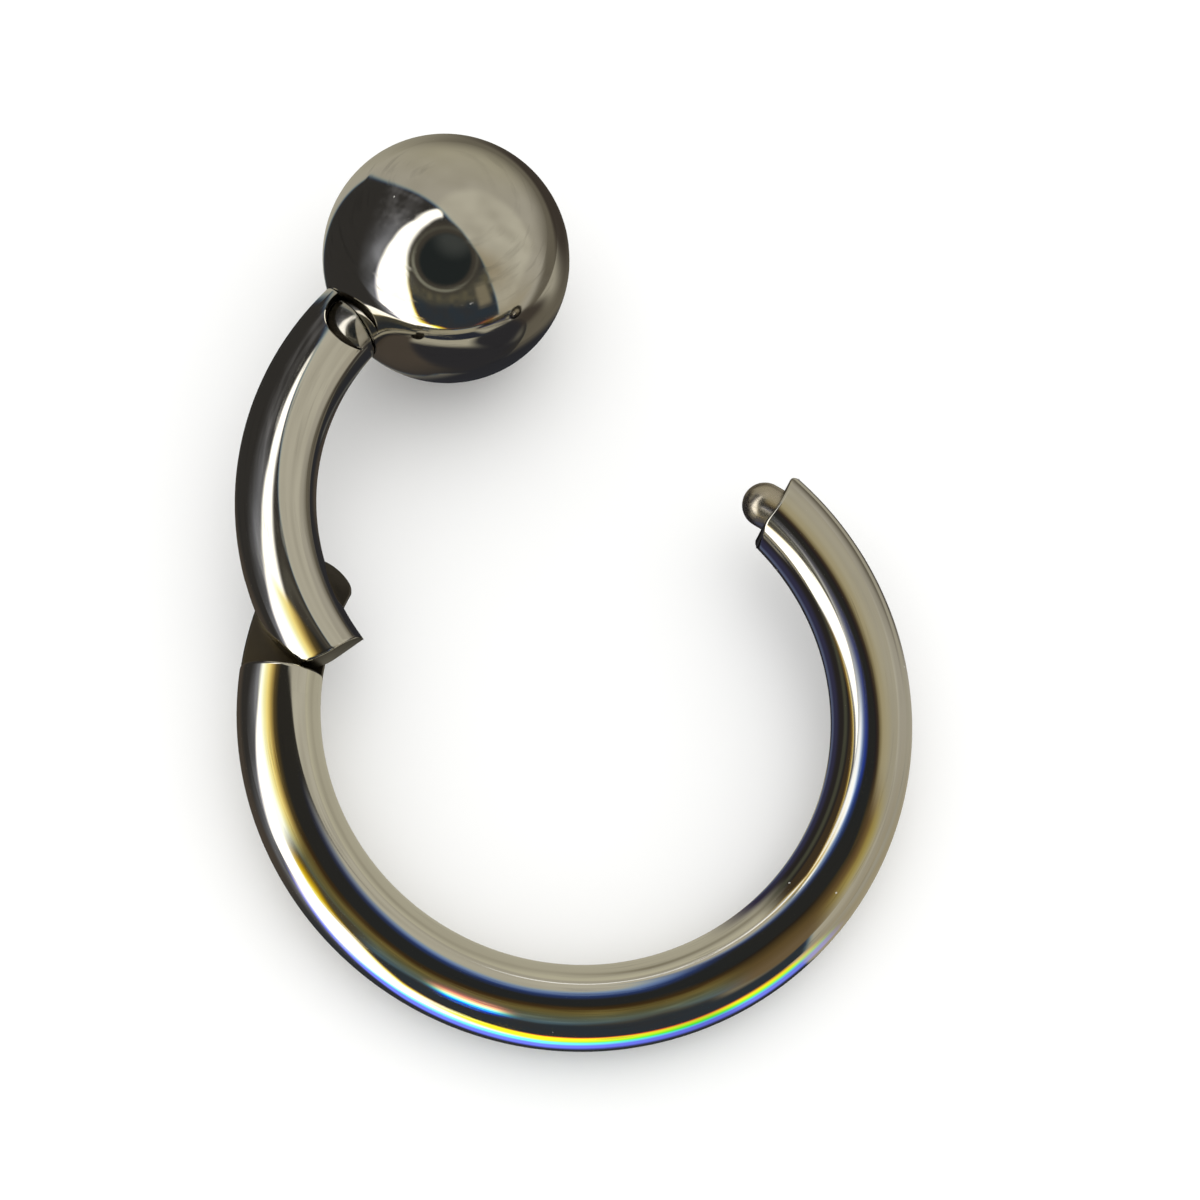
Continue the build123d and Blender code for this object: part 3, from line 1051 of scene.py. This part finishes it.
def light_tent():
    """The tent's wall, the table under the ring with painted shadow, and the sheets near the wire, which
    paint reflections onto the wire.
    """
    azimuth, drop = np.meshgrid(np.linspace(0, 360, 480, endpoint=False), np.linspace(0.05, 90, 121))
    level = tent_radius * np.sin(np.radians(drop))
    points = plan_points(np.radians(azimuth), level, tent_radius * np.cos(np.radians(drop)))
    reflected_only("tent_wall", points, wall_colours(azimuth.ravel(), drop.ravel(), wall_fringe))

    spans = ((0.05, 6, 20), (6.1, 10, 50), (10.3, 31, 50))
    reaches = np.concatenate([np.linspace(*span) for span in spans])
    azimuth, reach = np.meshgrid(np.linspace(0, 360, 360, endpoint=False), reaches)
    points = plan_points(np.radians(azimuth), reach, -table_gap) + (*ring_middle, 0)
    places = points[..., :2].reshape(-1, 2)
    reflected_only("tent_table", points, table_colours(places, False))

    points[..., 2] = -table_gap / 2
    reflected_only("near_table", points, table_colours(places, True), span=near_table_span)

    # Near sheet over the ring: painted reflections on the wire
    azimuth, reach = np.meshgrid(np.linspace(162, 414, 421), np.linspace(0.5, 19.0, 217))
    points = plan_points(np.radians(azimuth), reach, sheet_height) + (*ring_middle, 0)
    from_wire = np.hypot(reach - ring_radius, sheet_over_wire).ravel()
    span = from_wire * sheet_span_factor + sheet_span_slack
    paint = sheet_colours(points[..., :2].reshape(-1, 2))
    reflected_only("near_sheet", points, *paint, span, loop=False)

    # Painted reflections on the ring's inner side
    turns, height = np.meshgrid(np.linspace(171, 407, 237), np.linspace(-0.95, 1.5, 99))
    points = plan_points(np.radians(turns), inner_reflection_radius, height)
    paint = inner_reflection_colours(turns.ravel(), height.ravel())
    reflected_only("ring_inner_reflection", points, *paint, inner_reflection_span, ring_place, loop=False)


def pale_floor():
    """Plain pale floor, lit evenly, that the polished steel doesn't mirror."""
    shell = bmesh.new()
    bmesh.ops.create_grid(shell, x_segments=1, y_segments=1, size=2.0)
    floor = add_object("floor", mesh_data("floor", shell))
    paper = Shader("floor_paper")
    paper.surface.inputs["Base Color"].default_value = (0.93, 0.93, 0.92, 1)
    paper.surface.inputs["Roughness"].default_value = 0.9
    paper.surface.inputs["Specular IOR Level"].default_value = 0.1
    floor.data.materials.append(paper.material)
    floor.visible_glossy = False


def overhead_light():
    """A soft light over the floor that the steel doesn't mirror."""
    data = bpy.data.lights.new("overhead", "AREA")
    data.size = 0.5
    data.energy = 0.35
    light = add_object("overhead", data)
    light.location = (0.05, 0.1, 0.5)
    light.rotation_euler = light.location.to_track_quat("Z", "Y").to_euler()
    light.visible_glossy = False
    light.visible_camera = False


def surroundings():
    """Even pale light from all round, for the floor and its horizon."""
    world = bpy.data.worlds.new("pale")
    world.use_nodes = True
    back = world.node_tree.nodes["Background"]
    back.inputs["Color"].default_value = (1, 1, 1, 1)
    back.inputs["Strength"].default_value = 1.12
    bpy.context.scene.world = world
    bpy.context.scene.view_settings.view_transform = "Standard"


def steel(name, colour, roughness, layout, stretch, wear_depth=1.0):
    """Polished steel with faint smears, hairlines, dust and an uneven polish, and rough ground cuts
    darkened with painted shade.
    """
    shader = Shader(name)
    put, ramp, total, feed = shader.put, shader.ramp, shader.sum, shader.feed
    surface = shader.surface.inputs

    def times(first, second):
        return total(first, second, "MULTIPLY")

    if layout:
        places = put("ShaderNodeUVMap", {"uv_map": layout}).outputs["UV"]
    else:
        where = put("ShaderNodeTexCoord").outputs["Object"]
        places = put("ShaderNodeMapping", Vector=where, Scale=(1000, 1000, 1000)).outputs["Vector"]
    cut = put("ShaderNodeAttribute", {"attribute_name": "cut"}).outputs["Fac"]
    patches = ramp(shader.noise(places, (1, 1, 1), 0.55, 2.0), 0.42, 0.62)
    hairlines = times(ramp(shader.noise(places, stretch, 1.0, 4.0), 0.55, 0.68), patches)
    smears = ramp(shader.noise(places, (0.5, 1, 1), 0.9, 5.0), 0.48, 0.72)
    grind = shader.noise(places, (9, 9, 9), 4.0, 3.0)

    cells = put("ShaderNodeTexVoronoi", Vector=places, Scale=2.4).outputs
    speck = ramp(cells["Distance"], 0.045, 0.06, 1.0, 0.0)
    pick = put("ShaderNodeSeparateColor", Color=cells["Color"]).outputs["Red"]
    dust = times(times(speck, total(pick, 0.9, "GREATER_THAN")), 0.55 * wear_depth)

    dulled = total(times(smears, 0.35 * wear_depth), times(hairlines, 0.9))
    smeared = shader.mix(dulled, (*colour, 1), (*(0.84 * value for value in colour), 1))
    # Ground faces get rougher and are darkened towards the shaded ground colour: painted shade
    ground = shader.mix(cut, smeared, shaded_ground_colour)
    feed(surface["Base Color"], shader.mix(dust, ground, dust_colour))
    feed(surface["Metallic"], total(1.0, dust, "SUBTRACT"))
    scratched = total(times(hairlines, 0.14 * wear_depth), times(smears, 0.045 * wear_depth))
    rough = total(total(scratched, roughness), times(cut, 0.34))
    feed(surface["Roughness"], total(rough, times(dust, 0.5)))

    waves = times(shader.noise(places, (0.6, 1, 1), 1.1, 2.0), 3.0)
    relief = total(total(waves, times(hairlines, -0.9)), times(times(cut, grind), 2.0))
    bump = put("ShaderNodeBump", Strength=1.0, Distance=0.0004 * MILLIMETRE * wear_depth, Height=relief)
    feed(surface["Normal"], bump.outputs["Normal"])
    return shader.material


def wear(piece, material):
    """Gives a piece its material."""
    piece.data.materials.clear()
    piece.data.materials.append(material)


camera()
surroundings()
pale_floor()
light_tent()
overhead_light()

up = Vector((0, 0, 1))
seat_start = catch_end - catch_outward * catch_head_seat
shank_hole_length = catch_shank_length + shank_end_gap
peg_start = segment_end - peg_outward * peg_bore_lead
peg_bore_length = peg_bore_lead + peg_length + peg_gap
arc_cutters = [
    bar("pin_bore", hinge_point - past_wire * up, up, hinge_pin_radius + pin_running_gap, 2 * past_wire),
    bar("head_seat", seat_start, catch_outward, catch_head_radius + catch_seat_gap, past_wire),
    bar("shank_hole", seat_start, -catch_outward, catch_shank_radius + catch_seat_gap, shank_hole_length),
]
segment_cutters = [
    bar("leaf_bore", hinge_point, up, hinge_pin_radius + pin_seat_gap, leaf_pin_top + pin_end_gap),
    boss_cutter(1),
    boss_cutter(-1),
]
sphere_cutters = [
    *catch_socket(),
    bar("peg_bore", peg_start, peg_outward, peg_radius + peg_gap, peg_bore_length),
]
arc = finished(ring_arc(), ring_place, "ring", "ring_arc", arc_cutters, mark_ring_cuts)
segment = hinged_segment()
finished(segment, segment_place, "segment", "hinged_segment", segment_cutters, mark_segment_cuts)
sphere = finished(ball(), segment_place, "segment", "ball", sphere_cutters, mark_ball_cuts)
head = finished(catch_pin(), ring_place, "ring", "catch_pin")
pin = finished(hinge_pin(), segment_place, "segment", "hinge_pin")

ring_steel = steel("ring_steel", steel_colour, 0.055, "wire", (0.5, 16, 1))
ball_steel = steel("ball_steel", steel_colour, 0.05, None, (1.2, 1.2, 10))
pin_steel = steel("pin_steel", (0.66, 0.60, 0.51), 0.27, None, (3, 3, 12), 3.0)
wear(arc, ring_steel)
wear(segment, ring_steel)
wear(sphere, ball_steel)
wear(head, pin_steel)
wear(pin, pin_steel)
